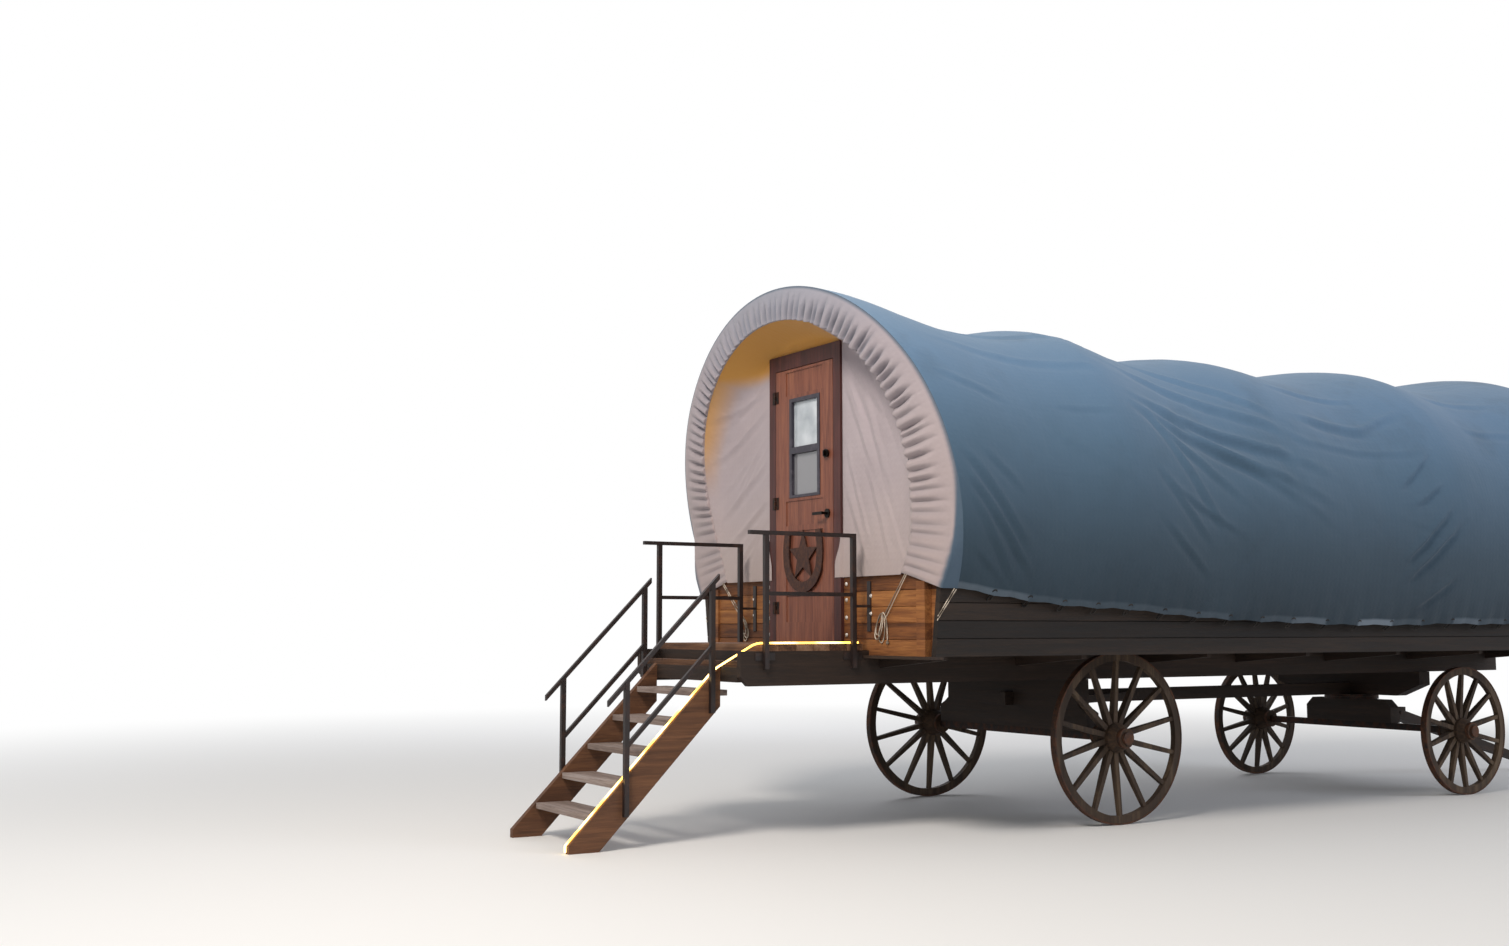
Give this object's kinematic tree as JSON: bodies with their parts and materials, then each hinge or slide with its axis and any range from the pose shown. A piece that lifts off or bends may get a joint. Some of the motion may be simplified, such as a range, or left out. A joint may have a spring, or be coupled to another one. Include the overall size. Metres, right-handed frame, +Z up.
{
  "type": "covered wagon",
  "caption": "Covered wagon fitted as a cabin: gathered canvas cover on bows, boarded box, glazed door, railed porch and steps, spoked wheels, steered front axle and tongue.",
  "frame": {"origin": "middle of the bounding box, on the ground", "axes": "+X towards the tongue at the draw end, +Y to the wagon's left side, +Z up"},
  "size_m": [10.6784, 3.534, 3.815],
  "materials": {
    "cover_canvas": "matte",
    "end_canvas": "matte",
    "bow_wood": "satin",
    "box_boards": "satin",
    "frame_timber": "matte",
    "worn_timber": "matte",
    "wheel_wood": "matte",
    "iron": "rough",
    "rail_metal": "satin",
    "door_wood": "satin",
    "window_metal": "satin",
    "glass": "clear",
    "dark_iron": "rough",
    "latch_metal": "worn",
    "rope_light": "satin"
  },
  "bodies": {
    "wagon": {"cover_canvas": "cover_canvas", "cover_bows": "bow_wood", "door_end_band": "end_canvas", "draw_end_band": "end_canvas", "door_end_canvas": "end_canvas", "draw_end_canvas": "end_canvas", "door_end_gate": "box_boards", "draw_end_gate": "box_boards", "box_side_left": "box_boards", "box_side_right": "box_boards", "box_floor": "frame_timber", "floor_joists": "frame_timber", "door_sill": "worn_timber", "chassis_beams": "frame_timber", "reach_pole": "frame_timber", "rear_bolster": "frame_timber", "front_bolster": "frame_timber", "turntable_top": "iron", "rear_axle": "iron", "porch_deck": "worn_timber", "porch_joists": "frame_timber", "porch_rail_left": "rail_metal", "porch_rail_right": "rail_metal", "stair_stringers": "worn_timber", "stair_treads": "worn_timber", "stair_rail_left": "rail_metal", "stair_rail_right": "rail_metal", "rope_light": "rope_light", "door_frame": "door_wood", "door_hinges_frame": "dark_iron"},
    "rear_wheel_left": {"wheel_rear_left_wood": "wheel_wood", "wheel_rear_left_hub": "wheel_wood", "wheel_rear_left_iron": "iron"},
    "rear_wheel_right": {"wheel_rear_right_wood": "wheel_wood", "wheel_rear_right_hub": "wheel_wood", "wheel_rear_right_iron": "iron"},
    "front_wheel_left": {"wheel_front_left_wood": "wheel_wood", "wheel_front_left_hub": "wheel_wood", "wheel_front_left_iron": "iron"},
    "front_wheel_right": {"wheel_front_right_wood": "wheel_wood", "wheel_front_right_hub": "wheel_wood", "wheel_front_right_iron": "iron"},
    "steering": {"front_axle": "iron", "front_axle_bed": "frame_timber", "turntable_bottom": "iron", "tongue_pin": "iron"},
    "tongue": {"tongue_pole": "frame_timber", "tongue_eye": "iron"},
    "door": {"door_leaf": "door_wood", "door_window_frame": "window_metal", "door_glass": "glass", "door_horseshoe": "dark_iron", "door_latch": "latch_metal", "door_hinges_leaf": "dark_iron"}
  },
  "joints": [
    {"name": "rear_wheel_left_spin", "type": "hinge", "parent": "wagon", "child": "rear_wheel_left", "pos_m": [-1.34873, 1.114, 0.609], "axis": [0, 1, 0], "continuous": true},
    {"name": "rear_wheel_right_spin", "type": "hinge", "parent": "wagon", "child": "rear_wheel_right", "pos_m": [-1.34873, -1.114, 0.609], "axis": [0, 1, 0], "continuous": true},
    {"name": "front_wheel_left_spin", "type": "hinge", "parent": "steering", "child": "front_wheel_left", "pos_m": [2.58627, 1.114, 0.53], "axis": [0, 1, 0], "continuous": true},
    {"name": "front_wheel_right_spin", "type": "hinge", "parent": "steering", "child": "front_wheel_right", "pos_m": [2.58627, -1.114, 0.53], "axis": [0, 1, 0], "continuous": true},
    {"name": "front_axle_steer", "type": "hinge", "parent": "wagon", "child": "steering", "pos_m": [2.58627, 0, 0.78], "axis": [0, 0, 1], "range_deg": [-30, 30]},
    {"name": "tongue_lift", "type": "hinge", "parent": "steering", "child": "tongue", "pos_m": [3.11127, 0, 0.62], "axis": [0, -1, 0], "range_deg": [0, 45]},
    {"name": "door_swing", "type": "hinge", "parent": "wagon", "child": "door", "pos_m": [-3.29773, 0.3825, 1.535], "axis": [0, 0, -1], "range_deg": [0, 105]}
  ]
}
